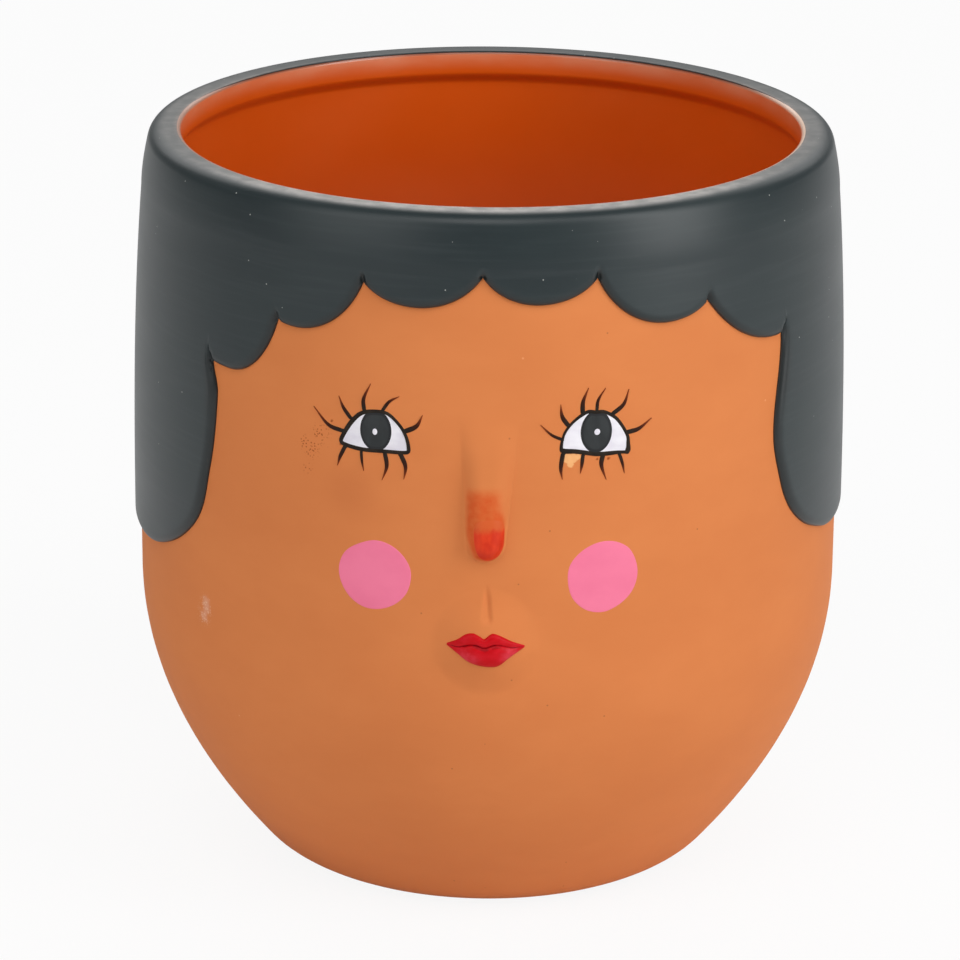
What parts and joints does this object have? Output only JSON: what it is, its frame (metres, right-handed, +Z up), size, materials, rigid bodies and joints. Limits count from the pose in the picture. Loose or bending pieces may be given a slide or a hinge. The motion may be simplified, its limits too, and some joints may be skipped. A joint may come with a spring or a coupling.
{
  "type": "ceramic planter",
  "caption": "Round-bellied ceramic planter cast and painted as a doll's head: matte terracotta face, scalloped dark hair up to the rim, glossy orange glaze inside, drain hole and pull-out plug.",
  "frame": {"origin": "on the pot's axis, in the plane of the foot ring that it stands on", "axes": "+Z up along the pot's axis, -Y the way the face looks, +X to the right of someone who looks at the face"},
  "size_m": [0.1486, 0.1509, 0.155],
  "materials": {
    "terracotta": "matte painted earthenware",
    "orange_glaze": "glossy",
    "slate_paint": "matte paint",
    "nose_red": "satin paint",
    "lip_red": "satin paint",
    "white_paint": "satin paint",
    "dark_paint": "satin paint",
    "pink_paint": "matte paint",
    "rubber": "matte moulded rubber"
  },
  "bodies": {
    "pot": {"pot_body": "terracotta", "glaze_lining": "orange_glaze", "hair": "slate_paint", "nose": "terracotta", "nose_tip": "nose_red", "upper_lip": "lip_red", "lower_lip": "lip_red", "eye_white_left": "white_paint", "eye_line_left": "dark_paint", "iris_left": "dark_paint", "eye_highlight_left": "white_paint", "cheek_left": "pink_paint", "eye_white_right": "white_paint", "eye_line_right": "dark_paint", "iris_right": "dark_paint", "eye_highlight_right": "white_paint", "cheek_right": "pink_paint"},
    "plug": {"drain_plug": "rubber"}
  },
  "joints": [
    {"name": "drain_plug_pull", "type": "slide", "parent": "pot", "child": "plug", "axis": [0, 0, 1], "range_m": [0, 0.165]}
  ]
}
